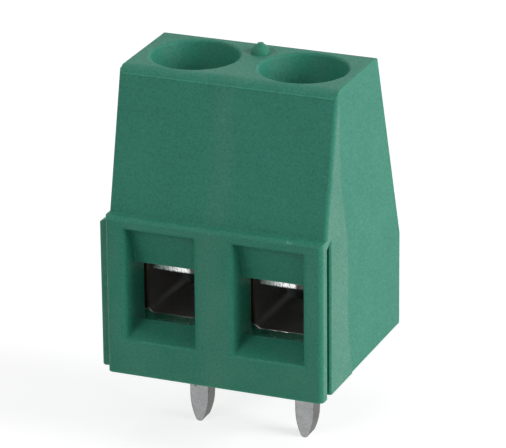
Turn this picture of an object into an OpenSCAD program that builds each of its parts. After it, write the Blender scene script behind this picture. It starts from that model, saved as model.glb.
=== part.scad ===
// Two-pole screw terminal block for a circuit board, of the rising cage kind.
// The origin is on the board, under the middle of the housing, on the row of pins.
// +X runs along the poles, +Y from the wire entries to the back, +Z up from the board.
// Every depth below is measured back from the lower front panel.

/* [Poles] */
// Distance between the two poles
pitch = 5.08; // [5:0.02:5.2]
// Depth of the middle of the pins
pin_row_y = 4.7; // [4.5:0.05:4.9]
// Depth of the screws' axes
screw_y = 4.45; // [4.4:0.01:4.5]

/* [Housing] */
// Depth of the housing
body_d = 9.75; // [9.4:0.05:10.4]
// Height of the top face above the board
body_h = 13.62; // [13.5:0.02:14.2]
// Height of the lower front panel
panel_h = 7.35; // [7.3:0.05:7.8]
// Depth of the ledge on top of the lower front panel
ledge_d = 0.52; // [0.4:0.02:0.7]
// Depth at which the sloped front meets the top edge
top_front_y = 1.88; // [1.6:0.02:2]
// Depth at which the top face meets the sloped back
top_back_y = 6.82; // [6.6:0.02:7]
// Height of the upright part of the back
back_h = 4.39; // [4:0.05:5]
// How far the parting line lies below the top face
parting_drop = 0.3; // [0.2:0.01:0.35]
// Radius of the top face's front edge, which runs down to the parting line
top_edge_r = 0.7; // [0.5:0.01:0.9]
// Radius of the top face's back and end edges
trim_r = 0.12; // [0.08:0.01:0.2]
// Radius of the panel's top edge
panel_edge_r = 0.22; // [0.15:0.01:0.35]
// Radius of the panel's upright edges
panel_side_r = 0.25; // [0.15:0.01:0.4]
// Radius of the edges between the sloped front and the ends
slope_side_r = 0.2; // [0.15:0.01:0.35]
// How far the parting line's witness stands out
witness = 0.03; // [0.02:0.01:0.06]

/* [Ends of the housing] */
// How far the back part of each end is set in
relief_d = 0.05; // [0.04:0.01:0.1]
// Depth at which the set-in part starts at the top face
relief_top_y = 2.05; // [1.95:0.05:2.2]
// Depth at which it starts where its edge bends towards the back
relief_bend_y = 2.3; // [2.2:0.05:2.5]
// Height of that bend
relief_bend_z = 9.4; // [9:0.1:9.8]
// Depth at which it starts along its upright edge
relief_mid_y = 3.15; // [3:0.05:3.3]
// Height of the upper end of its upright edge
relief_mid_z = 6.3; // [6:0.1:6.6]
// Height of the lower end of its upright edge
relief_low_z = 2.6; // [2.4:0.1:2.8]
// Depth at which it starts at the board
relief_foot_y = 3.63; // [3.4:0.05:3.8]
// Depth of the groove's front edge
groove_y = 0.63; // [0.55:0.01:0.7]
// Width of the groove at its mouth
groove_w = 0.41; // [0.38:0.01:0.46]
// How deep the groove goes into the end
groove_d = 0.5; // [0.45:0.01:0.55]
// How far the groove widens on each side at its floor
groove_flare = 0.08; // [0.04:0.01:0.1]
// Height of the groove's top
groove_h = 7; // [6.7:0.05:7.1]
// Bevel on the groove's two lips
groove_lip = 0.08; // [0.04:0.01:0.1]
// Gap all round the tongue when it is in a neighbour's groove
tongue_gap = 0.04; // [0.03:0.01:0.06]
// Height of the tongue's slanted shoulder
tongue_shoulder = 0.14; // [0.1:0.01:0.3]
// Radius of the tongue's lower corner
tongue_foot_r = 0.12; // [0.08:0.01:0.2]

/* [Wire entries] */
// Width of each wire entry inside its rounded mouth
entry_w = 3.2; // [3.1:0.02:3.24]
// Height of the sill at the mouth
sill_z = 1.62; // [1.5:0.02:1.75]
// Depth of the sill's crest
crest_y = 1.3; // [1.2:0.02:1.5]
// Height of the sill's crest
crest_z = 2.18; // [2:0.02:2.24]
// Height of the mouth's top edge
entry_top_z = 6.8; // [6.6:0.02:6.9]
// Depth at which the slanted lintel starts
lintel_top_y = 0.62; // [0.5:0.02:0.8]
// Depth of the lintel's lower edge
lintel_y = 1.14; // [1:0.02:1.3]
// Height of the lintel's lower edge
lintel_z = 4.92; // [4.8:0.02:5.1]
// Radius of the mouth's upright edges
mouth_r = 0.27; // [0.15:0.01:0.3]
// Radius of the mouth's upper and lower edges
mouth_sill_r = 0.15; // [0.08:0.01:0.2]
// Depth at which the chamber behind the entry starts
chamber_y = 2.05; // [1.95:0.01:2.25]

/* [Screw wells] */
// Diameter of the driver hole in the top face
driver_d = 3.44; // [3.36:0.02:3.5]
// Diameter to which the driver hole widens at the top face
well_d = 3.98; // [3.8:0.02:4.04]
// Height over which it widens
well_flare_h = 1.3; // [0.9:0.05:1.5]
// Radius of its lip
well_lip_r = 0.12; // [0.06:0.01:0.16]

/* [Gate mark] */
// Depth of the gate mark
gate_y = 5.75; // [5.7:0.01:5.85]
// Radius of the domed nub
gate_r = 0.4; // [0.3:0.01:0.42]
// Radius of the stub where the gate broke off, on top of the nub
gate_stub_r = 0.14; // [0.08:0.01:0.18]
// How far the stub stands above the nub
gate_stub_h = 0.02; // [0.01:0.01:0.08]
// Radius of the shallow dish round the nub
gate_dish_r = 0.7; // [0.6:0.02:0.74]
// Depth of the dish
gate_dish_d = 0.08; // [0.05:0.01:0.12]

/* [Contacts] */
// Thickness of the contact's strip
strip_t = 0.8; // [0.7:0.01:0.84]
// Width of the bar that runs through the cage
bar_w = 2.88; // [2.7:0.02:3]
// Height of the bar's underside
bar_z = 4; // [3.98:0.01:4.04]
// Depth of the bar's front edge
bar_y = 2.72; // [2.65:0.01:2.9]
// Depth of the strip's outer face behind the cage
strip_back_y = 8.15; // [7.9:0.02:8.2]
// Width of the strip's back and foot
foot_w = 3.6; // [3.2:0.05:3.8]
// Height of the foot's underside
foot_z = 0.28; // [0.2:0.01:0.32]
// Inner radius of the strip's bends
bend_r = 0.35; // [0.25:0.01:0.4]
// Width of the pins
pin_w = 0.88; // [0.8:0.01:1]
// Length of the pins below the board's face
pin_l = 3.8; // [3.4:0.05:4.2]
// Length of the pins' tapered end
pin_taper_l = 1.3; // [1:0.05:1.6]
// Radius of the pins' blunt tip
pin_tip_r = 0.2; // [0.1:0.01:0.25]
// Number of grip grooves across the bar's underside
grip_count = 6; // [3:1:6]
// Depth of the grip grooves
grip_d = 0.08; // [0.04:0.01:0.12]

/* [Clamp cages] */
// Width inside the cage
cage_in_w = 3.24; // [3.2:0.01:3.28]
// Thickness of the cage's side walls
cage_wall = 0.42; // [0.38:0.01:0.46]
// Thickness of the cage's floor
cage_floor_t = 0.72; // [0.6:0.01:0.76]
// Thickness of the cage's threaded top wall
cage_top_t = 1.7; // [1.4:0.02:1.8]
// Length of the cage along the wire
cage_l = 3.9; // [3.6:0.05:4]
// Height of the cage's floor when it is open
cage_floor_z = 1.97; // [1.92:0.01:1.97]
// Radius of the cage's inner corners
cage_in_r = 0.3; // [0.2:0.01:0.4]
// Radius of the cage's outer corners
cage_out_r = 0.45; // [0.3:0.01:0.6]
// How far the cage rises from open to closed
cage_lift = 2; // [1.8:0.05:2]

/* [Clamp screws] */
// Diameter over the screw's thread
screw_d = 3; // [2.9:0.02:3.04]
// Diameter of the screw's head
head_d = 3.6; // [3.56:0.01:3.66]
// Height of the screw's head
head_h = 1.65; // [1.4:0.01:1.7]
// Bevel round the screw's head and tip
screw_bevel = 0.2; // [0.1:0.01:0.3]
// Width of the screw's slot
slot_w = 0.7; // [0.5:0.02:0.8]
// Depth of the screw's slot
slot_d = 0.9; // [0.6:0.02:1]

/* [Clearances] */
// Radial gap round the screw's thread in the cage
thread_gap = 0.05; // [0.03:0.01:0.08]
// Radial gap round the screw's head in its pocket
head_gap = 0.1; // [0.06:0.01:0.12]
// Gap between each side of the cage and the chamber
guide_gap = 0.06; // [0.04:0.01:0.08]
// Gap behind the cage
cage_end_gap = 0.2; // [0.15:0.01:0.25]
// Gap where a metal piece stands on another or against the housing
seat_gap = 0.05; // [0.03:0.01:0.06]
// Play above the screw's head and above the raised cage
screw_play = 0.15; // [0.1:0.01:0.2]
// How far the contact's barbs bite into the housing
barb_bite = 0.03; // [0.02:0.01:0.05]

/* [Hidden] */
$fn = 64;

HOUSING_GREEN = [0.26, 0.57, 0.47];
TINNED = [0.72, 0.73, 0.74];
NICKELLED = [0.56, 0.55, 0.53];
ZINCED = [0.68, 0.69, 0.70];

body_w = 2 * pitch;
end_x = body_w / 2;
cut = 1;                        // how far a cutter runs past the face that it cuts
parting_z = body_h - parting_drop;

bar_top_z = bar_z + strip_t;
strip_out_r = bend_r + strip_t;
pin_front_y = pin_row_y - strip_t / 2;
foot_front_y = pin_front_y + strip_out_r + strip_t / 4;

cage_y = screw_y - cage_l / 2;
cage_in_h = bar_top_z + 2 * seat_gap - cage_floor_z;
cage_out_w = cage_in_w + 2 * cage_wall;
cage_top_z = cage_floor_z + cage_in_h + cage_top_t;

chamber_w = cage_out_w + 2 * guide_gap;
chamber_back_y = cage_y + cage_l + cage_end_gap;
chamber_top_z = cage_top_z + cage_lift + screw_play;
pocket_back_y = strip_back_y + seat_gap;

tip_z = bar_top_z + seat_gap;
head_z = chamber_top_z + seat_gap;
shoulder_z = head_z + head_h + screw_play;

// ---- helpers -------------------------------------------------------------------------------

function unit(v) = v / norm(v);

// Moves what is drawn from the front panel so that the origin is on the row of pins.
module on_board() {
    translate([0, -pin_row_y, 0])
        children();
}

// The same moved to one of the two poles, which are numbered from the left.
module at_pole(number) {
    on_board()
        translate([(number - 1.5) * pitch, 0, 0])
            children();
}

// Draws in the upright plane of depth and height, as wide as w and centred on the pole.
module across(w) {
    translate([-w / 2, 0, 0])
        rotate([90, 0, 90])
            linear_extrude(w)
                children();
}

// Draws in the upright plane of width and height, from depth y back by l.
module along(y, l) {
    translate([0, y + l, 0])
        rotate([90, 0, 0])
            linear_extrude(l)
                children();
}

// What to take away at corner p, between neighbours a and b, to leave it with radius r.
module corner_waste(a, p, b, r) {
    u = unit(a - p);
    v = unit(b - p);
    middle = unit(u + v);
    half_angle = acos(u * v) / 2;
    reach = r / tan(half_angle);
    centre = p + middle * r / sin(half_angle);
    difference() {
        polygon([p + u * reach, centre, p + v * reach, p - middle * r]);
        translate(centre)
            circle(r);
    }
}

module rounded_rect(w, h, r) {
    translate([r - w / 2, 0])
        square([w - 2 * r, h]);
    translate([-w / 2, r])
        square([w, h - 2 * r]);
    for (x = [r - w / 2, w / 2 - r], y = [r, h - r])
        translate([x, y])
            circle(r);
}

// ---- housing: body -------------------------------------------------------------------------

PANEL_FOOT = [0, 0];
PANEL_TOP = [0, panel_h];
LEDGE_BACK = [ledge_d, panel_h];
PARTING = [top_front_y, parting_z];
TOP_BACK = [top_back_y, body_h];
BACK_BEND = [body_d, back_h];
BACK_FOOT = [body_d, 0];

// Depth of the sloped back at height z.
function back_y(z) = body_d - (z - back_h) * (body_d - top_back_y) / (body_h - back_h);

// From the board up to the ledge, with the panel's upright edges rounded.
module lower_body() {
    left = [-end_x, 0];
    right = [end_x, 0];
    intersection() {
        across(body_w)
            difference() {
                polygon([PANEL_FOOT, PANEL_TOP, [back_y(panel_h), panel_h], BACK_BEND, BACK_FOOT]);
                corner_waste(PANEL_FOOT, PANEL_TOP, LEDGE_BACK, panel_edge_r);
            }
        linear_extrude(panel_h)
            difference() {
                translate(left)
                    square([body_w, body_d]);
                corner_waste([-end_x, body_d], left, right, panel_side_r);
                corner_waste(left, right, [end_x, body_d], panel_side_r);
            }
    }
}

// From just below the ledge, where the sloped front starts inside the lower body, to the top.
module upper_body() {
    slope = unit(PARTING - LEDGE_BACK);
    root = LEDGE_BACK - slope * cut;
    slope_top = PARTING + slope * parting_drop / slope.y;
    edge_centre_z = body_h - top_edge_r;
    edge_centre_y = top_front_y + sqrt(top_edge_r * top_edge_r - pow(parting_z - edge_centre_z, 2));
    difference() {
        across(body_w)
            difference() {
                polygon([root, slope_top, TOP_BACK, [back_y(root.y), root.y]]);
                difference() {
                    translate([edge_centre_y - cut, edge_centre_z])
                        square([cut, top_edge_r + cut]);
                    translate([edge_centre_y, edge_centre_z])
                        circle(top_edge_r);
                }
                corner_waste(slope_top, TOP_BACK, BACK_BEND, trim_r);
            }
        for (side = [-end_x, end_x]) {
            translate([0, root.x, root.y])
                rotate([-atan2(slope.x, slope.y), 0, 0])
                    linear_extrude(body_h)
                        corner_waste([0, 0], [side, 0], [side, cut], slope_side_r);
            along(0, body_d)
                corner_waste([0, body_h], [side, body_h], [side, 0], trim_r);
        }
    }
}

// The fine step where the two halves of the mould met, which ends short of the rounded edges.
module parting_witness() {
    across(body_w - 2 * slope_side_r - 2 * witness)
        translate(PARTING)
            polygon([[witness, witness], [-witness, 0], [witness, -8 * witness]]);
}

// The back part of both ends stands in a little from the front part, along this line.
RELIEF_LINE = [[relief_top_y, body_h], [relief_bend_y, relief_bend_z], [relief_mid_y, relief_mid_z],
               [relief_mid_y, relief_low_z], [relief_foot_y, 0]];

module end_relief() {
    for (side = [-end_x, end_x])
        translate([side, 0, 0])
            across(2 * relief_d)
                polygon(concat([[relief_top_y, body_h + cut]], RELIEF_LINE,
                               [[relief_foot_y, -cut], [body_d + cut, -cut],
                                [body_d + cut, body_h + cut]]));
}

// ---- housing: tongue and groove ------------------------------------------------------------

// The groove in the right end: open at the board, with a slanted top and bevelled lips.
module groove() {
    mouth = groove_w / 2;
    front_y = groove_y - cut;
    back_y = groove_y + groove_w + cut;
    intersection() {
        translate([end_x, groove_y + mouth, -cut])
            linear_extrude(groove_h + 3 * cut)
                polygon([[cut, -mouth - groove_lip], [0, -mouth - groove_lip], [-groove_lip, -mouth],
                         [-groove_d, -mouth - groove_flare], [-groove_d, mouth + groove_flare],
                         [-groove_lip, mouth], [0, mouth + groove_lip], [cut, mouth + groove_lip]]);
        translate([end_x, 0, 0])
            across(3 * cut)
                polygon([[front_y, -2 * cut], [front_y, groove_h - cut / 2],
                         [back_y, groove_h + cut / 2 + groove_w / 2], [back_y, -2 * cut]]);
    }
}

// The tongue on the left end: as the groove with a gap all round, slanted above, rounded below.
module tongue() {
    neck = groove_w / 2 - tongue_gap;
    tongue_d = groove_d - tongue_gap;
    tongue_h = groove_h - tongue_gap;
    tip_x = -end_x - tongue_d;
    root_x = -end_x + cut;
    intersection() {
        translate([-end_x, groove_y + groove_w / 2, 0])
            linear_extrude(tongue_h)
                polygon([[tongue_d, -neck], [0, -neck], [-tongue_d, -neck - groove_flare],
                         [-tongue_d, neck + groove_flare], [0, neck], [tongue_d, neck]]);
        along(0, body_d)
            difference() {
                polygon([[root_x, 0], [tip_x, 0], [tip_x, tongue_h - tongue_shoulder],
                         [tip_x + 2 * tongue_shoulder, tongue_h], [root_x, tongue_h]]);
                corner_waste([root_x, 0], [tip_x, 0], [tip_x, tongue_h], tongue_foot_r);
            }
    }
}

// ---- housing: what is cut out at each pole -------------------------------------------------

// The way in for the wire: a sill that rises to a crest, straight sides and a slanted lintel.
module wire_entry() {
    inside_y = chamber_y + cut / 4;
    sill = [0, sill_z];
    crest = [crest_y, crest_z];
    mouth_top = [0, entry_top_z];
    lintel_top = [lintel_top_y, entry_top_z];
    intersection() {
        across(pitch) {
            polygon([[-cut, sill_z], sill, crest, [inside_y, crest_z - (inside_y - crest_y)],
                     [inside_y, lintel_z], [lintel_y, lintel_z], lintel_top, [-cut, entry_top_z]]);
            corner_waste(PANEL_FOOT, sill, crest, mouth_sill_r);
            corner_waste(PANEL_TOP, mouth_top, lintel_top, mouth_sill_r);
        }
        linear_extrude(panel_h) {
            translate([-entry_w / 2, -cut])
                square([entry_w, inside_y + cut]);
            for (side = [-1, 1])
                corner_waste([side * end_x, 0], [side * entry_w / 2, 0],
                             [side * entry_w / 2, crest_y], mouth_r);
        }
    }
}

// Room for the cage to rise in, and lower down for the strip that wraps round behind it.
module chamber() {
    translate([-chamber_w / 2, chamber_y, -cut])
        cube([chamber_w, chamber_back_y - chamber_y, chamber_top_z + cut]);
    translate([-chamber_w / 2, chamber_y, -cut])
        cube([chamber_w, pocket_back_y - chamber_y, bar_top_z + seat_gap + cut]);
}

// The driver hole, which widens to its lip, over the pocket for the screw's head.
module screw_well() {
    flare_foot = [driver_d / 2, body_h - well_flare_h];
    lip = [well_d / 2, body_h];
    translate([0, screw_y, 0]) {
        translate([0, 0, chamber_top_z - cut])
            cylinder(h = shoulder_z - chamber_top_z + cut, d = head_d + 2 * head_gap);
        translate([0, 0, shoulder_z - cut])
            cylinder(h = body_h - shoulder_z + 2 * cut, d = driver_d);
        rotate_extrude() {
            polygon([[0, flare_foot.y], flare_foot, lip, [lip.x, body_h + cut], [0, body_h + cut]]);
            corner_waste(flare_foot, lip, [lip.x + cut, body_h], well_lip_r);
        }
    }
}

// ---- housing: gate mark --------------------------------------------------------------------

// The shallow dish between the two wells.
module gate_dish() {
    dish_r = (gate_dish_r * gate_dish_r / gate_dish_d + gate_dish_d) / 2;
    translate([0, gate_y, body_h - gate_dish_d + dish_r])
        sphere(dish_r);
}

// The nub in it, with the stub where the gate broke off.
module gate_nub() {
    translate([0, gate_y, body_h]) {
        sphere(gate_r);
        cylinder(h = gate_r + gate_stub_h, r = gate_stub_r);
    }
}

module housing() {
    color(HOUSING_GREEN) {
        difference() {
            on_board()
                difference() {
                    union() {
                        lower_body();
                        upper_body();
                        parting_witness();
                        tongue();
                    }
                    end_relief();
                    groove();
                    gate_dish();
                }
            for (number = [1, 2])
                at_pole(number) {
                    wire_entry();
                    chamber();
                    screw_well();
                }
        }
        on_board()
            gate_nub();
    }
}

// ---- contacts ------------------------------------------------------------------------------

// A quarter turn of the strip round a centre, towards the given signs of depth and height.
module strip_bend(centre, y_sign, z_sign) {
    translate(centre)
        intersection() {
            difference() {
                circle(strip_out_r);
                circle(bend_r);
            }
            mirror([y_sign < 0 ? 1 : 0, 0])
                mirror([0, z_sign < 0 ? 1 : 0])
                    square(strip_out_r);
        }
}

// The bar that runs through the cage, with grip grooves across its underside.
module bar() {
    bend_y = strip_back_y - strip_out_r;
    groove_step = cage_l / (grip_count + 1);
    across(bar_w)
        difference() {
            translate([bar_y, bar_z])
                square([bend_y - bar_y, strip_t]);
            for (i = [1 : grip_count])
                translate([cage_y + i * groove_step, bar_z])
                    rotate(45)
                        square(sqrt(2) * grip_d, center = true);
        }
    across(bar_w)
        strip_bend([bend_y, bar_top_z - strip_out_r], 1, 1);
}

// The upright back behind the cage, with a barb on each edge that bites into the chamber's side.
module strip_back() {
    top_z = bar_top_z - strip_out_r;
    bottom_z = foot_z + strip_out_r;
    barb_x = chamber_w / 2 + barb_bite;
    along(strip_back_y - strip_t, strip_t) {
        translate([-foot_w / 2, bottom_z])
            square([foot_w, top_z - bottom_z]);
        for (side = [-1, 1])
            polygon([[0, bottom_z], [side * foot_w / 2, bottom_z], [side * barb_x, bottom_z + strip_t / 2],
                     [side * foot_w / 2, top_z], [0, top_z]]);
    }
}

// The foot under the cage, and the narrow tail that bends down from it into the pin.
module foot() {
    bend_y = strip_back_y - strip_out_r;
    across(foot_w) {
        strip_bend([bend_y, foot_z + strip_out_r], 1, -1);
        translate([foot_front_y, foot_z])
            square([bend_y - foot_front_y, strip_t]);
    }
    across(pin_w) {
        strip_bend([pin_front_y + strip_out_r, foot_z - bend_r], -1, 1);
        translate([pin_front_y + strip_out_r, foot_z])
            square([foot_front_y - pin_front_y - strip_out_r, strip_t]);
    }
}

// The pin: straight, then two arcs that run tangent into a blunt round tip.
module pin() {
    taper_z = pin_taper_l - pin_l;
    tip_centre = [0, pin_tip_r - pin_l];
    rise = taper_z - tip_centre.y;
    taper_r = (rise * rise + pin_w * pin_w / 4 - pin_tip_r * pin_tip_r) / (pin_w - 2 * pin_tip_r);
    arc_centre = [pin_w / 2 - taper_r, taper_z];
    touch_z = tip_centre.y - pin_tip_r * rise / (taper_r - pin_tip_r);
    along(pin_front_y, strip_t) {
        translate([-pin_w / 2, taper_z])
            square([pin_w, foot_z - bend_r - taper_z]);
        intersection() {
            translate([-pin_w / 2, touch_z])
                square([pin_w, taper_z - touch_z]);
            translate(arc_centre)
                circle(taper_r, $fn = 180);
            mirror([1, 0])
                translate(arc_centre)
                    circle(taper_r, $fn = 180);
        }
        translate(tip_centre)
            circle(pin_tip_r);
    }
}

module contact(number) {
    color(TINNED)
        at_pole(number) {
            bar();
            strip_back();
            foot();
            pin();
        }
}

// ---- clamp cages ---------------------------------------------------------------------------

module clamp_cage(number) {
    color(NICKELLED)
        at_pole(number)
            difference() {
                along(cage_y, cage_l)
                    difference() {
                        translate([0, cage_floor_z - cage_floor_t])
                            rounded_rect(cage_out_w, cage_top_z - cage_floor_z + cage_floor_t, cage_out_r);
                        translate([0, cage_floor_z])
                            rounded_rect(cage_in_w, cage_in_h, cage_in_r);
                    }
                translate([0, screw_y, bar_top_z])
                    cylinder(h = cage_top_z - bar_top_z + cut, d = screw_d + 2 * thread_gap);
            }
}

// ---- clamp screws --------------------------------------------------------------------------

// Thread shown as a plain shank; a slotted head with a bevelled edge.
module clamp_screw(number) {
    head_r = head_d / 2;
    top_z = head_z + head_h;
    color(ZINCED)
        at_pole(number)
            translate([0, screw_y, 0])
                difference() {
                    union() {
                        translate([0, 0, tip_z])
                            cylinder(h = screw_bevel, r1 = screw_d / 2 - screw_bevel, r2 = screw_d / 2);
                        translate([0, 0, tip_z + screw_bevel])
                            cylinder(h = head_z - tip_z - screw_bevel, d = screw_d);
                        translate([0, 0, head_z])
                            cylinder(h = head_h - screw_bevel, r = head_r);
                        translate([0, 0, top_z - screw_bevel])
                            cylinder(h = screw_bevel, r1 = head_r, r2 = head_r - screw_bevel);
                    }
                    translate([-head_d, -slot_w / 2, top_z - slot_d])
                        cube([2 * head_d, slot_w, slot_d + cut]);
                }
}

housing();
contact(1);  // contact_1
contact(2);  // contact_2
clamp_cage(1);  // clamp_cage_1
clamp_cage(2);  // clamp_cage_2
clamp_screw(1);  // clamp_screw_1
clamp_screw(2);  // clamp_screw_2
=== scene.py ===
"""Looks for a two-pole screw terminal block of the rising cage kind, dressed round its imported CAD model.

The file follows the block as it is put together: the moulded housing, the contacts pressed up into it, the
clamp cages, the screws, and last the bench, the camera and the lamps. Lengths are in metres.
"""

import math

import bmesh
import bpy
from mathutils import Matrix, Vector, noise as waves


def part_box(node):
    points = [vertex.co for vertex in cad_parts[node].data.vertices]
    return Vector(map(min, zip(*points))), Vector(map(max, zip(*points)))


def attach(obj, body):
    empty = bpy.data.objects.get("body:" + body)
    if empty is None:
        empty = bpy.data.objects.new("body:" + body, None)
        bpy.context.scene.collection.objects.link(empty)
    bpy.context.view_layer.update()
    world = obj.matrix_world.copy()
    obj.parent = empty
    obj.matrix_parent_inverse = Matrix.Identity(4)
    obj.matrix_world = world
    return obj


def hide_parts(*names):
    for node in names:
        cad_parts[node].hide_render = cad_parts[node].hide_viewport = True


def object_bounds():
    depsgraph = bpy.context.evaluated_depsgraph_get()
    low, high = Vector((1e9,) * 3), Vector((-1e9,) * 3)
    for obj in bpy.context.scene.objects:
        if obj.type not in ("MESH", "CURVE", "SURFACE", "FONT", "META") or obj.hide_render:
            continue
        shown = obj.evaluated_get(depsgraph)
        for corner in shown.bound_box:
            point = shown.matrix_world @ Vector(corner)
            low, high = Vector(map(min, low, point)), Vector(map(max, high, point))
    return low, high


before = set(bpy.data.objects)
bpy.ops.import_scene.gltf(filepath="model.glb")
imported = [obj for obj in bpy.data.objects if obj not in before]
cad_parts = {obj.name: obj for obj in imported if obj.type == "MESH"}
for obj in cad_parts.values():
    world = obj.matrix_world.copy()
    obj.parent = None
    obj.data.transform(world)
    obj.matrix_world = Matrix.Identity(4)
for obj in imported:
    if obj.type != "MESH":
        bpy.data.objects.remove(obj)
cad_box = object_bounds()

# ---- The housing ----------------------------------------------------------------------------
# One shot of green polyamide from a two-part mould, with a fine satin skin off the tool's spark-eroded
# walls. It is slightly milky: light gets a little way into it, so thin edges glow; their paler colour is also a
# painted highlight. The proud front of each end is painted paler and greyer than the relieved rear, and the two flows
# meet in a faint line between the poles.

MM = 0.001
NYLON = (0.0270, 0.229, 0.152)
NYLON_PALER = (0.075, 0.262, 0.182)
# painted highlight colour for the rounded edges
NYLON_EDGE_HIGHLIGHT = (0.070, 0.380, 0.225)
NYLON_SHADE = (0.010, 0.150, 0.098)


def shader_group(name, inputs, outputs):
    """An empty shader node group with these sockets, and its input and output nodes."""
    group = bpy.data.node_groups.new(name, "ShaderNodeTree")
    for label, kind in inputs:
        group.interface.new_socket(label, in_out="INPUT", socket_type="NodeSocket" + kind)
    for label, kind in outputs:
        group.interface.new_socket(label, in_out="OUTPUT", socket_type="NodeSocket" + kind)
    return group, group.nodes.new("NodeGroupInput").outputs, group.nodes.new("NodeGroupOutput").inputs


def feed(tree, socket, value):
    """Links a socket to another socket, or gives it a value."""
    if isinstance(value, bpy.types.NodeSocket):
        tree.links.new(value, socket)
    elif socket.type == "RGBA":
        socket.default_value = (*value, 1.0)
    else:
        socket.default_value = value


def add_node(tree, kind, output, settings=None, **values):
    """A node with these settings and input values, and one of its outputs."""
    node = tree.nodes.new("ShaderNode" + kind)
    for name, value in (settings or {}).items():
        setattr(node, name, value)
    for name, value in values.items():
        feed(tree, node.inputs[name.replace("_", " ")], value)
    return node.outputs[output]


def place_group(tree, group, **values):
    """A shader group placed in a material with its own values, and its outputs."""
    node = tree.nodes.new("ShaderNodeGroup")
    node.node_tree = group
    for name, value in values.items():
        feed(tree, node.inputs[name.replace("_", " ")], value)
    return node.outputs


def calc(tree, operation, first, second=0.0):
    """A Math node on two numbers or sockets, and its output."""
    node = tree.nodes.new("ShaderNodeMath")
    node.operation = operation
    feed(tree, node.inputs[0], first)
    feed(tree, node.inputs[1], second)
    return node.outputs[0]


def spread(tree, value, low, high, out_low=0.0, out_high=1.0):
    """Stretches a value from low..high to out_low..out_high, clamped."""
    return add_node(tree, "MapRange", "Result", Value=value, From_Min=low, From_Max=high,
                    To_Min=out_low, To_Max=out_high)


def noise(tree, point, scale, detail=2.0, roughness=0.5):
    """A Noise Texture in the piece's own metres, and its value."""
    return add_node(tree, "TexNoise", "Fac", Vector=point, Scale=scale, Detail=detail, Roughness=roughness)


def blend_colour(tree, share, first, second, how="MIX"):
    """A Mix node on two colours, and its output."""
    node = tree.nodes.new("ShaderNodeMix")
    node.data_type = "RGBA"
    node.blend_type = how
    for number, value in ((0, share), (6, first), (7, second)):
        feed(tree, node.inputs[number], value)
    return node.outputs[2]


def new_material(name):
    """A material with a Principled BSDF, its tree and shader, and the point being shaded."""
    material = bpy.data.materials.new(name)
    material.use_nodes = True
    tree = material.node_tree
    return material, tree, tree.nodes["Principled BSDF"].inputs, add_node(tree, "TexCoord", "Object")


def split(tree, vector):
    """The three parts of a vector."""
    return add_node(tree, "SeparateXYZ", "X", Vector=vector).node.outputs


def dress(piece, material):
    """Gives every face of a piece this one material."""
    piece.data.materials.clear()
    piece.data.materials.append(material)


# Where the surface turns within a short reach, and the normal rounded over that reach.
edge_finder, given, out = shader_group(
    "edge_finder", [("Reach", "Float"), ("Low", "Float"), ("High", "Float")],
    [("Mask", "Float"), ("Rounded", "Vector")])
rounded = add_node(edge_finder, "Bevel", "Normal", {"samples": 6}, Radius=given["Reach"])
flat = add_node(edge_finder, "NewGeometry", "Normal")
likeness = add_node(edge_finder, "VectorMath", "Value", {"operation": "DOT_PRODUCT"})
feed(edge_finder, likeness.node.inputs[0], rounded)
feed(edge_finder, likeness.node.inputs[1], flat)
turned = calc(edge_finder, "SUBTRACT", 1.0, likeness)
feed(edge_finder, out["Mask"], spread(edge_finder, turned, given["Low"], given["High"]))
feed(edge_finder, out["Rounded"], rounded)

# Rare round grains on the surface: dust and crumbs, each in its own cell.
loose_specks, given, out = shader_group(
    "loose_specks", [("Point", "Vector"), ("Scale", "Float"), ("Share", "Float"), ("Size", "Float")],
    [("Mask", "Float")])
cells = add_node(loose_specks, "TexVoronoi", "Distance", Vector=given["Point"], Scale=given["Scale"])
near = calc(loose_specks, "LESS_THAN", cells, given["Size"])
picked = calc(loose_specks, "LESS_THAN", split(loose_specks, cells.node.outputs["Color"])["X"], given["Share"])
feed(loose_specks, out["Mask"], calc(loose_specks, "MULTIPLY", near, picked))

# Slow and fine unevenness of a surface: a tone about 1, a roughness about 0 and a height in 0..1.
uneven_skin, given, out = shader_group(
    "uneven_skin", [("Point", "Vector"), ("Cloud Size", "Float"), ("Grain Size", "Float"),
                    ("Cloud Depth", "Float"), ("Grain Depth", "Float")],
    [("Tone", "Float"), ("Roughening", "Float"), ("Height", "Float")])
cloud = noise(uneven_skin, given["Point"], calc(uneven_skin, "DIVIDE", 1.0, given["Cloud Size"]), 3.0, 0.6)
grain = noise(uneven_skin, given["Point"], calc(uneven_skin, "DIVIDE", 1.0, given["Grain Size"]), 2.0, 0.6)
cloudy = calc(uneven_skin, "MULTIPLY", calc(uneven_skin, "SUBTRACT", cloud, 0.5), given["Cloud Depth"])
grainy = calc(uneven_skin, "MULTIPLY", calc(uneven_skin, "SUBTRACT", grain, 0.5), given["Grain Depth"])
both = calc(uneven_skin, "ADD", cloudy, grainy)
feed(uneven_skin, out["Tone"], calc(uneven_skin, "ADD", both, 1.0))
feed(uneven_skin, out["Roughening"], calc(uneven_skin, "MULTIPLY", both, -0.5))
feed(uneven_skin, out["Height"], grain)

material, tree, shader, point = new_material("green_polyamide")
skin = place_group(tree, uneven_skin, Point=point, Cloud_Size=2.6 * MM, Grain_Size=0.10 * MM,
                   Cloud_Depth=0.18, Grain_Depth=0.75)
x, y, z = split(tree, point)
facing = split(tree, add_node(tree, "NewGeometry", "Normal"))

# The proud front of each end, painted paler and greyer in soft patches.
proud = spread(tree, calc(tree, "ABSOLUTE", x), 5.050 * MM, 5.060 * MM)
patches = spread(tree, noise(tree, point, 700.0, 3.0, 0.65), 0.30, 0.62)
proud_paler = calc(tree, "MULTIPLY", proud, spread(tree, patches, 0.0, 1.0, 0.45, 1.0))
housing_colour = blend_colour(tree, calc(tree, "MULTIPLY", proud_paler, 0.75), NYLON, NYLON_PALER)

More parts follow.
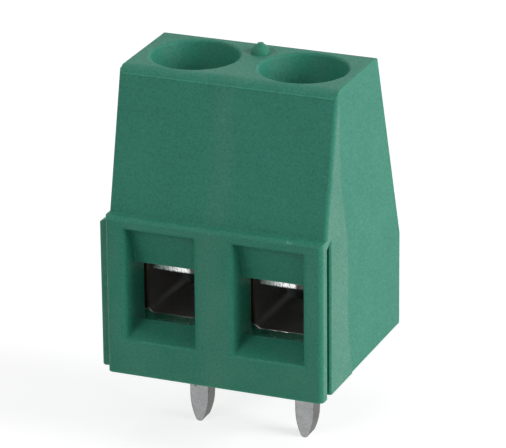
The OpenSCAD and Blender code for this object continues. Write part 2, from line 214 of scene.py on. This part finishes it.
# The knit line down the front between the poles, wandering a little.
wander = spread(tree, noise(tree, point, 260.0, 2.0), 0.0, 1.0, -0.5 * MM, 0.5 * MM)
off_line = calc(tree, "ABSOLUTE", calc(tree, "ADD", x, wander))
knit = calc(tree, "MULTIPLY", spread(tree, off_line, 0.10 * MM, 0.75 * MM, 1.0, 0.0),
            spread(tree, facing["Y"], -0.95, -0.7, 0.30, 0.0))
housing_colour = blend_colour(tree, knit, housing_colour, NYLON_PALER)

# The top and the lower front, painted a little greyer in patches.
top_front_grey = calc(tree, "MULTIPLY", patches, calc(tree, "MAXIMUM", spread(tree, facing["Z"], 0.60, 0.95),
                                               spread(tree, facing["Y"], -0.998, -0.985, 1.0, 0.0)))
housing_colour = blend_colour(tree, calc(tree, "MULTIPLY", top_front_grey, 0.38), housing_colour, NYLON_PALER)

# Edges painted paler and greener as a painted highlight of the light caught on their roundings, and the fine step of
# the end relief, which reads as a dark line of painted shade where its rounded edge turns away from the light.
edges = place_group(tree, edge_finder, Reach=0.16 * MM, Low=0.015, High=0.22)
edge_highlight = calc(tree, "MULTIPLY", edges["Mask"], 0.50)
housing_colour = blend_colour(tree, edge_highlight, housing_colour, NYLON_EDGE_HIGHLIGHT)
# Painted shade: a dark line where the step's rounded edge turns away from the light.
behind = spread(tree, split(tree, edges["Rounded"])["Y"], 0.10, 0.45)
step_shade = calc(tree, "MULTIPLY", proud, behind)
housing_colour = blend_colour(tree, calc(tree, "MULTIPLY", step_shade, 0.8), housing_colour, NYLON_SHADE)

# A nick in the ledge over the right mouth, and dust.
beside = calc(tree, "ABSOLUTE", calc(tree, "SUBTRACT", x, 3.45 * MM))
above = calc(tree, "ABSOLUTE", calc(tree, "SUBTRACT", z, 7.27 * MM))
nick_x = spread(tree, beside, 0.10 * MM, 0.32 * MM, 1.0, 0.0)
nick_z = spread(tree, above, 0.02 * MM, 0.06 * MM, 1.0, 0.0)
nick_y = spread(tree, y, -4.45 * MM, -4.40 * MM, 1.0, 0.0)
nick = calc(tree, "MULTIPLY", calc(tree, "MULTIPLY", calc(tree, "MULTIPLY", nick_x, nick_z), nick_y),
            spread(tree, noise(tree, point, 7000.0, 2.0), 0.35, 0.60))
dust = place_group(tree, loose_specks, Point=point, Scale=1900.0, Share=0.035, Size=0.10)["Mask"]
pale = calc(tree, "MAXIMUM", calc(tree, "MULTIPLY", nick, 0.4), calc(tree, "MULTIPLY", dust, 0.14))
housing_colour = blend_colour(tree, pale, housing_colour, (0.36, 0.52, 0.46))

toned = add_node(tree, "VectorMath", "Vector", {"operation": "SCALE"}, Scale=skin["Tone"])
feed(tree, toned.node.inputs[0], housing_colour)
feed(tree, shader["Base Color"], toned)
roughness = calc(tree, "ADD", skin["Roughening"], 0.56)
feed(tree, shader["Roughness"], calc(tree, "SUBTRACT", roughness, calc(tree, "MULTIPLY", proud_paler, 0.08)))
shader["Specular IOR Level"].default_value = 0.32
shader["Subsurface Weight"].default_value = 0.35
shader["Subsurface Radius"].default_value = (0.25, 1.0, 0.7)
shader["Subsurface Scale"].default_value = 0.35 * MM
bump = add_node(tree, "Bump", "Normal", Height=skin["Height"], Strength=0.6, Distance=0.010 * MM)
feed(tree, shader["Normal"], bump)
dress(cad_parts["housing"], material)

# ---- The contacts ---------------------------------------------------------------------------
# Stamped from copper alloy strip 0.8 mm thick and dull tin plated after bending. The rolled faces are a
# mottled pale grey, the sheared sides darker with strokes along the punch's way, partly as painted shade, and the
# bar's end is burnished by the shear; it is painted bright as a highlight over most of its width and dark as shade and
# shadow elsewhere.

TIN = (0.355, 0.36, 0.365)
TIN_SHEARED_AND_SHADE = (0.17, 0.168, 0.160)
TIN_BURNISH_AND_HIGHLIGHT = (0.98, 0.98, 0.98)
TIN_EDGE_SHADE_AND_PITS = (0.11, 0.095, 0.085)
pole_x = 2.54 * MM
bar_front_y = -1.98 * MM

material, tree, shader, point = new_material("dull_tin_plate")
skin = place_group(tree, uneven_skin, Point=point, Cloud_Size=0.45 * MM, Grain_Size=0.07 * MM,
                   Cloud_Depth=0.45, Grain_Depth=0.45)
x, y, z = split(tree, point)
facing = split(tree, add_node(tree, "NewGeometry", "Normal"))
# The side faces: rougher sheared metal, and also painted darker than the rolled faces as shade.
side = spread(tree, calc(tree, "ABSOLUTE", facing["X"]), 0.55, 0.8)
edges = place_group(tree, edge_finder, Reach=0.09 * MM, Low=0.02, High=0.30)
tin = blend_colour(tree, side, TIN, TIN_SHEARED_AND_SHADE)
# A dark outline painted along every edge as shade; the same dark colour marks real pits in the plating.
tin = blend_colour(tree, calc(tree, "MULTIPLY", edges["Mask"], 0.75), tin, TIN_EDGE_SHADE_AND_PITS)
pits = place_group(tree, loose_specks, Point=point, Scale=2200.0, Share=0.06, Size=0.16)["Mask"]
tin = blend_colour(tree, calc(tree, "MULTIPLY", pits, 0.8), tin, TIN_EDGE_SHADE_AND_PITS)

# Strokes of the shear across the bar's end. The end is painted dark as shade, and bright as a painted highlight over
# all but its right-hand quarter, which stays dark as the painted shadow of the mouth's right wall.
stroke_point = add_node(tree, "VectorMath", "Vector", {"operation": "MULTIPLY"})
feed(tree, stroke_point.node.inputs[0], point)
stroke_point.node.inputs[1].default_value = (1.0, 1.0, 0.35)
strokes = noise(tree, stroke_point, 14000.0, 3.0, 0.7)
from_pole = calc(tree, "SUBTRACT", x, calc(tree, "MULTIPLY", calc(tree, "SIGN", x), pole_x))
ragged = calc(tree, "ADD", from_pole, spread(tree, strokes, 0.2, 0.8, -0.15 * MM, 0.15 * MM))
at_end = spread(tree, y, bar_front_y + 0.02 * MM, bar_front_y + 0.06 * MM, 1.0, 0.0)
lit_shear = calc(tree, "MULTIPLY", spread(tree, ragged, 0.20 * MM, 0.34 * MM, 1.0, 0.0), at_end)
bright = calc(tree, "MULTIPLY", lit_shear, spread(tree, strokes, 0.34, 0.48, 0.35, 1.0))
tin = blend_colour(tree, calc(tree, "MULTIPLY", at_end, 0.9), tin, (0.06, 0.055, 0.05))
tin = blend_colour(tree, bright, tin, TIN_BURNISH_AND_HIGHLIGHT)
toned = add_node(tree, "VectorMath", "Vector", {"operation": "SCALE"}, Scale=skin["Tone"])
feed(tree, toned.node.inputs[0], tin)
feed(tree, shader["Base Color"], toned)
shader["Metallic"].default_value = 1.0
roughness = calc(tree, "ADD", calc(tree, "ADD", skin["Roughening"], 0.46), calc(tree, "MULTIPLY", side, 0.10))
feed(tree, shader["Roughness"], calc(tree, "SUBTRACT", roughness, calc(tree, "MULTIPLY", bright, 0.24)))
relief = calc(tree, "ADD", skin["Height"], calc(tree, "MULTIPLY", strokes, calc(tree, "MULTIPLY", at_end, 0.4)))
feed(tree, shader["Normal"], add_node(tree, "Bump", "Normal", Height=relief, Strength=0.5, Distance=0.012 * MM,
                                      Normal=edges["Rounded"]))
for name in ("contact_1", "contact_2"):
    dress(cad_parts[name], material)

# ---- The clamp cages ------------------------------------------------------------------------
# Sawn from extruded brass section and bright nickel plated. The saw leaves a rolled burr round the mouth,
# which shines along the floor. The rest of the rim is painted a very dark brown: the brownish brass under thin
# plating, darkened as painted shade where the rim's face stands in shadow. The inside is drawn with long marks along
# the section, and dull.

CAGE_INSIDE = (0.46, 0.44, 0.42)
CAGE_EDGE = (0.98, 0.98, 0.97)
CAGE_BRASS_AND_SHADE = (0.055, 0.040, 0.028)
cage_opening = (3.24 * MM, 2.93 * MM)
cage_wall = 0.42 * MM
cage_floor = 0.72 * MM
cage_top = 1.70 * MM
cage_inner_r = 0.30 * MM
cage_outer_r = 0.45 * MM
cage_hole_r = 1.55 * MM
screw_axis_y = -0.25 * MM

material, tree, shader, point = new_material("bright_nickel")
skin = place_group(tree, uneven_skin, Point=point, Cloud_Size=0.9 * MM, Grain_Size=0.08 * MM,
                   Cloud_Depth=0.30, Grain_Depth=0.30)
x, y, z = split(tree, point)
inside = spread(tree, y, -2.14 * MM, -2.10 * MM)
on_floor = spread(tree, z, 2.06 * MM, 2.20 * MM, 1.0, 0.0)
# The rim away from the floor's burr: brass-brown, darkened as painted shade.
nickel = blend_colour(tree, inside, blend_colour(tree, on_floor, CAGE_BRASS_AND_SHADE, CAGE_EDGE), CAGE_INSIDE)
toned = add_node(tree, "VectorMath", "Vector", {"operation": "SCALE"}, Scale=skin["Tone"])
feed(tree, toned.node.inputs[0], nickel)
feed(tree, shader["Base Color"], toned)
shader["Metallic"].default_value = 1.0
drawn_point = add_node(tree, "VectorMath", "Vector", {"operation": "MULTIPLY"})
feed(tree, drawn_point.node.inputs[0], point)
drawn_point.node.inputs[1].default_value = (1.0, 0.05, 1.0)
drawn = noise(tree, drawn_point, 9000.0, 2.0, 0.6)
dull = calc(tree, "MULTIPLY", inside, 0.24)
at_rim = calc(tree, "SUBTRACT", 1.0, inside)
stained = calc(tree, "MULTIPLY", calc(tree, "MULTIPLY", at_rim, calc(tree, "SUBTRACT", 1.0, on_floor)), 0.35)
feed(tree, shader["Roughness"], calc(tree, "ADD", calc(tree, "ADD", calc(tree, "ADD", skin["Roughening"], 0.24), dull),
                                     stained))
relief = calc(tree, "ADD", calc(tree, "MULTIPLY", skin["Height"], 0.5), calc(tree, "MULTIPLY", drawn, inside))
feed(tree, shader["Normal"], add_node(tree, "Bump", "Normal", Height=relief, Strength=0.4, Distance=0.006 * MM))


def rounded_ring(width, height, corner, side_steps, corner_steps):
    """Points and outward directions round a rectangle with rounded corners, centred, in the XZ plane."""
    ring = []
    reach_x, reach_z = width / 2 - corner, height / 2 - corner
    for number, (sign_x, sign_z) in enumerate(((1, 1), (-1, 1), (-1, -1), (1, -1))):
        centre = Vector((sign_x * reach_x, 0, sign_z * reach_z))
        for step in range(corner_steps + 1):
            angle = math.radians(90 * (number + step / corner_steps))
            ring.append((centre + corner * Vector((math.cos(angle), 0, math.sin(angle))),
                         Vector((math.cos(angle), 0, math.sin(angle)))))
        along = Vector(((-2 * reach_x, 0, 0), (0, 0, -2 * reach_z), (2 * reach_x, 0, 0), (0, 0, 2 * reach_z))[number])
        start, outward = ring[-1]
        for step in range(1, side_steps):
            ring.append((start + along * step / side_steps, outward))
    return ring


def skinned(loops, closed=False):
    """Points and faces of a skin over loops of equal count."""
    count = len(loops[0])
    points = [point for loop in loops for point in loop]
    faces = []
    for row in range(len(loops) if closed else len(loops) - 1):
        after = (row + 1) % len(loops)
        for step in range(count):
            turn = (step + 1) % count
            faces.append((row * count + step, row * count + turn, after * count + turn, after * count + step))
    return points, faces


def mesh_piece(name, points, faces, smooth=True):
    """A new mesh object in the scene."""
    mesh = bpy.data.meshes.new(name)
    mesh.from_pydata([tuple(point) for point in points], [], faces)
    mesh.validate()
    mesh.polygons.foreach_set("use_smooth", [smooth] * len(mesh.polygons))
    piece = bpy.data.objects.new(name, mesh)
    bpy.context.scene.collection.objects.link(piece)
    return piece


def settle(piece):
    """Applies a piece's modifiers to its mesh."""
    shape = bpy.data.meshes.new_from_object(piece.evaluated_get(bpy.context.evaluated_depsgraph_get()))
    piece.modifiers.clear()
    piece.data = shape


def outward(piece):
    """Turns a closed piece's faces outward."""
    shape = bmesh.new()
    shape.from_mesh(piece.data)
    bmesh.ops.remove_doubles(shape, verts=shape.verts, dist=1e-8)
    bmesh.ops.recalc_face_normals(shape, faces=shape.faces)
    shape.to_mesh(piece.data)
    shape.free()


def cut_away(piece, tool):
    """Takes the tool's shape out of a piece and deletes the tool."""
    outward(piece)
    outward(tool)
    cut = piece.modifiers.new("cut", "BOOLEAN")
    cut.operation = "DIFFERENCE"
    cut.solver = "EXACT"
    cut.object = tool
    settle(piece)
    bpy.data.objects.remove(tool)


for number in (1, 2):
    node = f"clamp_cage_{number}"
    low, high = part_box(node)
    middle = (low + high) / 2
    inner = rounded_ring(*cage_opening, cage_inner_r, 40, 8)
    outer = rounded_ring(high.x - low.x, high.z - low.z, cage_outer_r, 40, 8)
    inner_middle = Vector((middle.x, 0, low.z + cage_floor + cage_opening[1] / 2))
    outer_middle = Vector((middle.x, 0, middle.z))

    def loop(ring, centre, grow, y, burr=0.0):
        """The ring at a depth, grown outward, with the saw's uneven burr added."""
        placed = []
        for where, way in ring:
            here = centre + where + way * grow
            here.y = y
            rag = waves.noise(here * 2600 + Vector((number * 7.3, 0, 0)))
            share = 0.12 + 0.88 * max(0.0, -way.z) ** 2
            placed.append(here + burr * share * (0.8 + 0.9 * rag) * Vector((-way.x, -0.45, -way.z)))
        return placed

    front, rear = low.y, high.y
    fine = 0.05 * MM
    cage_loops = [
        loop(inner, inner_middle, 0.0, rear - fine), loop(inner, inner_middle, fine * 0.3, rear - fine * 0.3),
        loop(inner, inner_middle, fine, rear), loop(outer, outer_middle, -fine, rear),
        loop(outer, outer_middle, -fine * 0.3, rear - fine * 0.3), loop(outer, outer_middle, 0.0, rear - fine),
        loop(outer, outer_middle, 0.0, front + 3 * fine), loop(outer, outer_middle, 0.0, front + 1.4 * fine),
        loop(outer, outer_middle, -fine * 0.3, front + 0.7 * fine),
        loop(outer, outer_middle, -fine, front + 0.4 * fine),
        loop(inner, inner_middle, 1.8 * fine, front + 0.4 * fine),
        loop(inner, inner_middle, 1.0 * fine, front + 0.4 * fine),
        loop(inner, inner_middle, 0.5 * fine, front + 0.45 * fine, 0.9 * fine),
        loop(inner, inner_middle, 0.1 * fine, front + 0.7 * fine, 1.1 * fine),
        loop(inner, inner_middle, 0.0, front + 1.2 * fine, 0.8 * fine), loop(inner, inner_middle, 0.0, front + 2 * fine),
        loop(inner, inner_middle, 0.0, front + 3 * fine)]
    cage = mesh_piece(f"sawn_cage_{number}", *skinned(cage_loops, closed=True))
    hole = [[Vector((middle.x + cage_hole_r * math.cos(step * math.tau / 64),
                     screw_axis_y + cage_hole_r * math.sin(step * math.tau / 64), height)) for step in range(64)]
            for height in (high.z - cage_top - 0.4 * MM, high.z + 0.4 * MM)]
    points, faces = skinned(hole)
    cutter = mesh_piece("thread_drill", points, faces + [tuple(range(64)), tuple(range(64, 128))])
    cut_away(cage, cutter)
    cage.data.polygons.foreach_set("use_smooth", [True] * len(cage.data.polygons))
    cage.data.set_sharp_from_angle(angle=math.radians(40))
    dress(cage, material)
    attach(cage, f"cage_{number}")
    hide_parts(node)

# ---- The clamp screws -----------------------------------------------------------------------
# Steel M3 screws with a cheese head, thread rolled at 0.5 mm pitch, the slot milled through the head and
# all of it zinc plated. The head's top keeps its turning rings; the slot is painted darker as shade in the recess, and
# the edges are painted paler as highlights.

ZINC = (0.62, 0.64, 0.66)
ZINC_SLOT_SHADE = (0.36, 0.37, 0.38)
thread_pitch = 0.5 * MM
thread_depth = 0.29 * MM
shank_r = 1.5 * MM
head_height = 1.65 * MM
head_bevel = 0.2 * MM
slot_width = 0.7 * MM
slot_depth = 0.9 * MM
tip_bevel = 0.25 * MM

material, tree, shader, point = new_material("clear_zinc")
skin = place_group(tree, uneven_skin, Point=point, Cloud_Size=0.7 * MM, Grain_Size=0.06 * MM,
                   Cloud_Depth=0.35, Grain_Depth=0.25)
x, y, z = split(tree, point)
from_pole = calc(tree, "SUBTRACT", x, calc(tree, "MULTIPLY", calc(tree, "SIGN", x), pole_x))
from_axis = calc(tree, "SQRT", calc(tree, "ADD", calc(tree, "POWER", from_pole, 2.0),
                                    calc(tree, "POWER", calc(tree, "SUBTRACT", y, screw_axis_y), 2.0)))
rings = calc(tree, "SINE", calc(tree, "MULTIPLY", from_axis, math.tau / (0.11 * MM)))
on_top = spread(tree, z, 10.40 * MM, 10.44 * MM)
in_slot = calc(tree, "MULTIPLY", spread(tree, calc(tree, "ABSOLUTE", calc(tree, "SUBTRACT", y, screw_axis_y)),
                                        slot_width / 2, slot_width / 2 + 0.02 * MM, 1.0, 0.0),
               spread(tree, z, 9.5 * MM, 9.52 * MM))
edges = place_group(tree, edge_finder, Reach=0.06 * MM, Low=0.02, High=0.25)
# The slot painted darker as shade in the recess.
zinc = blend_colour(tree, in_slot, ZINC, ZINC_SLOT_SHADE)
# Every edge painted paler as a highlight.
zinc = blend_colour(tree, calc(tree, "MULTIPLY", edges["Mask"], 0.5), zinc, (0.85, 0.86, 0.87))
toned = add_node(tree, "VectorMath", "Vector", {"operation": "SCALE"}, Scale=skin["Tone"])
feed(tree, toned.node.inputs[0], zinc)
feed(tree, shader["Base Color"], toned)
shader["Metallic"].default_value = 1.0
feed(tree, shader["Roughness"], calc(tree, "ADD", skin["Roughening"], 0.32))
relief = calc(tree, "ADD", skin["Height"], calc(tree, "MULTIPLY", calc(tree, "MULTIPLY", rings, on_top), 0.5))
feed(tree, shader["Normal"], add_node(tree, "Bump", "Normal", Height=relief, Strength=0.5, Distance=0.008 * MM,
                                      Normal=edges["Rounded"]))

round_steps = 64
for number in (1, 2):
    node = f"clamp_screw_{number}"
    low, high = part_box(node)
    axis = Vector(((low.x + high.x) / 2, screw_axis_y, 0))
    head_r = min(high.x - low.x, high.y - low.y) / 2
    seat_z = high.z - head_height

    def ring_at(radius, height):
        """A level ring round the screw's axis, with one radius or one for each step."""
        radii = radius if isinstance(radius, list) else [radius] * round_steps
        return [axis + Vector((radii[step] * math.cos(step * math.tau / round_steps),
                               radii[step] * math.sin(step * math.tau / round_steps), height))
                for step in range(round_steps)]

    rows = [ring_at(0.02 * MM, low.z)]
    thread_end = seat_z - 0.35 * MM
    levels = round((thread_end - low.z) / (thread_pitch / 8))
    for level in range(levels + 1):
        height = low.z + (thread_end - low.z) * level / levels
        radii = []
        for step in range(round_steps):
            turn = ((height - low.z) / thread_pitch - step / round_steps) % 1.0
            groove = max(0.0, min(1.0, (abs(turn - 0.5) * 2 - 0.12) / 0.72))
            fade = min(1.0, (thread_end - height) / (0.5 * thread_pitch))
            radius = shank_r - thread_depth * groove * fade
            radii.append(min(radius, shank_r - tip_bevel + (height - low.z)))
        rows.append(ring_at(radii, height))
    rows += [ring_at(shank_r, seat_z - 0.08 * MM), ring_at(shank_r + 0.06 * MM, seat_z),
             ring_at(head_r - 0.05 * MM, seat_z), ring_at(head_r - 0.015 * MM, seat_z + 0.015 * MM),
             ring_at(head_r, seat_z + 0.06 * MM), ring_at(head_r, high.z - head_bevel - 0.05 * MM),
             ring_at(head_r - 0.02 * MM, high.z - head_bevel + 0.01 * MM),
             ring_at(head_r - head_bevel * 0.55, high.z - head_bevel * 0.32),
             ring_at(head_r - head_bevel - 0.03 * MM, high.z - 0.02 * MM),
             ring_at(head_r - head_bevel - 0.10 * MM, high.z), ring_at(0.02 * MM, high.z)]
    points, faces = skinned(rows)
    last = len(points) - round_steps
    screw = mesh_piece(f"slotted_screw_{number}", points,
                       faces + [tuple(range(round_steps)), tuple(range(last, last + round_steps))])
    floor_z, half = high.z - slot_depth, slot_width / 2
    profile = [(-half - 0.05 * MM, high.z + 0.05 * MM), (-half - 0.05 * MM, high.z), (-half, high.z - 0.05 * MM),
               (-half, floor_z + 0.06 * MM), (-half + 0.06 * MM, floor_z), (half - 0.06 * MM, floor_z),
               (half, floor_z + 0.06 * MM), (half, high.z - 0.05 * MM), (half + 0.05 * MM, high.z),
               (half + 0.05 * MM, high.z + 0.05 * MM)]
    loops = [[Vector((axis.x + end * 2 * head_r, screw_axis_y + across, height)) for across, height in profile]
             for end in (-1, 1)]
    points, faces = skinned(loops)
    count = len(profile)
    cutter = mesh_piece("slot_mill", points, faces + [tuple(range(count)), tuple(range(count, 2 * count))])
    cut_away(screw, cutter)
    screw.data.polygons.foreach_set("use_smooth", [True] * len(screw.data.polygons))
    screw.data.set_sharp_from_angle(angle=math.radians(35))
    dress(screw, material)
    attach(screw, f"screw_{number}")
    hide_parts(node)

# ---- The bench, the camera and the lamps ----------------------------------------------------
# A white bench under the pins' tips, a wide soft box to the right, a small one at the front left and a
# weak one above.

low, high = cad_box
middle = (low + high) / 2
reach = 1.0
bench = mesh_piece("bench", [(-reach, -reach, low.z), (reach, -reach, low.z), (reach, reach, low.z),
                             (-reach, reach, low.z)], [(0, 1, 2, 3)])
material, tree, shader, point = new_material("white_bench")
shader["Base Color"].default_value = (0.62, 0.62, 0.62, 1.0)
shader["Roughness"].default_value = 0.9
shader["Specular IOR Level"].default_value = 0.0
light_path = tree.nodes.new("ShaderNodeLightPath").outputs
seen = calc(tree, "MAXIMUM", calc(tree, "MAXIMUM", light_path["Is Camera Ray"], light_path["Is Glossy Ray"]),
            light_path["Is Transmission Ray"])
feed(tree, shader["Emission Color"], (1.0, 1.0, 1.0))
feed(tree, shader["Emission Strength"], calc(tree, "MULTIPLY", seen, 0.68))
dress(bench, material)

world = bpy.data.worlds.new("studio")
bpy.context.scene.world = world
world.use_nodes = True
tree = world.node_tree
background = tree.nodes["Background"].inputs
feed(tree, background["Color"], (1.0, 1.0, 1.0))
light_path = tree.nodes.new("ShaderNodeLightPath").outputs
seen = calc(tree, "MAXIMUM", calc(tree, "MAXIMUM", light_path["Is Camera Ray"], light_path["Is Glossy Ray"]),
            light_path["Is Transmission Ray"])
feed(tree, background["Strength"], spread(tree, seen, 0.0, 1.0, 0.27, 1.0))

camera_azimuth = math.radians(22.3)
camera_elevation = math.radians(21.4)
camera_roll = -0.0100
camera_distance = 172.4 * MM
camera_target = Vector((0.277, -0.70, 6.239)) * MM
camera_data = bpy.data.cameras.new("camera")
camera_data.lens = 279.4
camera_data.sensor_width = 36.0
camera_data.clip_start = 0.01
camera_data.clip_end = 10.0
camera = bpy.data.objects.new("camera", camera_data)
bpy.context.scene.collection.objects.link(camera)
back = Vector((math.sin(camera_azimuth) * math.cos(camera_elevation),
               -math.cos(camera_azimuth) * math.cos(camera_elevation), math.sin(camera_elevation)))
camera.location = camera_target + back * camera_distance
camera.rotation_mode = "QUATERNION"
camera.rotation_quaternion = (-back).to_track_quat("-Z", "Y") @ Matrix.Rotation(camera_roll, 3, "Z").to_quaternion()
bpy.context.scene.camera = camera


def soft_box(name, way, distance, size, power):
    """A square lamp that way from the block, turned to it."""
    lamp = bpy.data.lights.new(name, "AREA")
    lamp.size = size
    lamp.energy = power
    piece = bpy.data.objects.new(name, lamp)
    bpy.context.scene.collection.objects.link(piece)
    piece.location = middle + Vector(way).normalized() * distance
    piece.rotation_mode = "QUATERNION"
    piece.rotation_quaternion = (-Vector(way)).to_track_quat("-Z", "Y")


soft_box("key_lamp", (0.95, 0.02, 0.34), 0.35, 0.20, 0.95)
soft_box("front_lamp", (-0.353, -0.80, 0.48), 0.40, 0.12, 0.28)
soft_box("top_lamp", (0.0, -0.15, 1.0), 0.35, 0.20, 0.08)

bpy.context.scene.view_settings.view_transform = "Standard"
